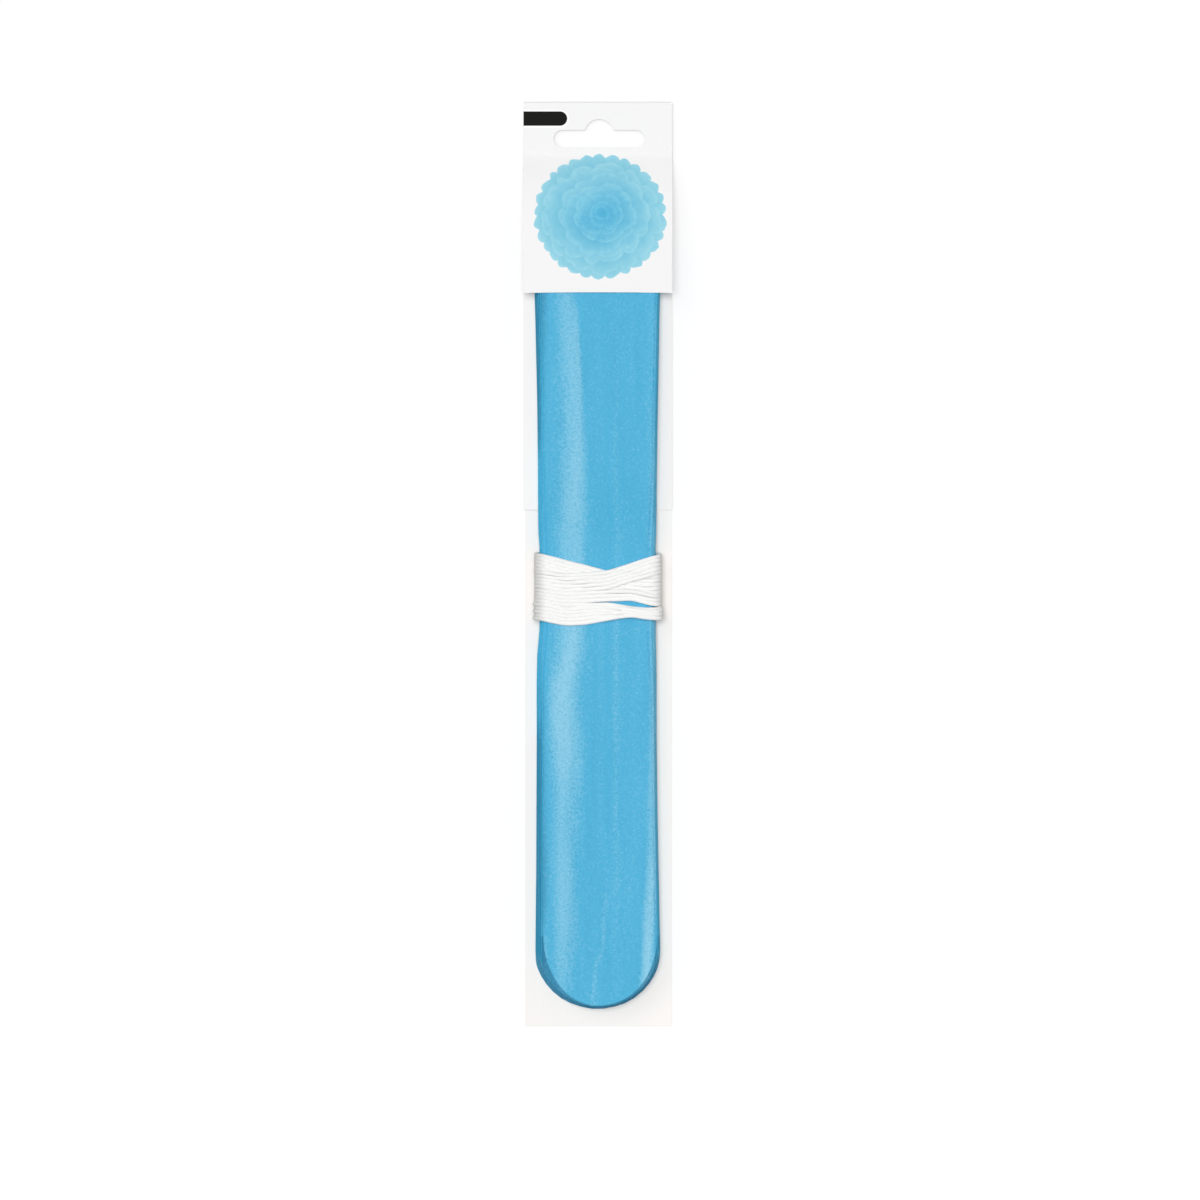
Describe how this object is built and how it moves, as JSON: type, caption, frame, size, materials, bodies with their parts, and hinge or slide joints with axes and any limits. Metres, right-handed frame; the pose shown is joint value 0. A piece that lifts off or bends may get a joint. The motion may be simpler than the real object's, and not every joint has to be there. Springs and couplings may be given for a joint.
{
  "type": "folded tissue paper pom pom",
  "caption": "Unfluffed tissue paper pom pom: a flat pleated pad with round ends, wound with its hanging cord, on a folded header card with a hang slot and a backing strip.",
  "frame": {"origin": "on the surface that the pack lies on, under the middle of its outline", "axes": "+X across the pack to the right as seen from its front, +Y along it towards the hang slot, +Z out of its front"},
  "size_m": [0.045, 0.28, 0.0104],
  "materials": {
    "strip_card": "plain pale card, uncoated",
    "white_card": "smooth white printed card",
    "blue_tissue": "light blue tissue paper with a soft sheen along its creases",
    "white_cord": "soft white twisted cord"
  },
  "bodies": {
    "root": {"backing_strip": "strip_card", "header_card": "white_card", "tissue_pad": "blue_tissue", "hanging_cord": "white_cord"}
  },
  "joints": []
}
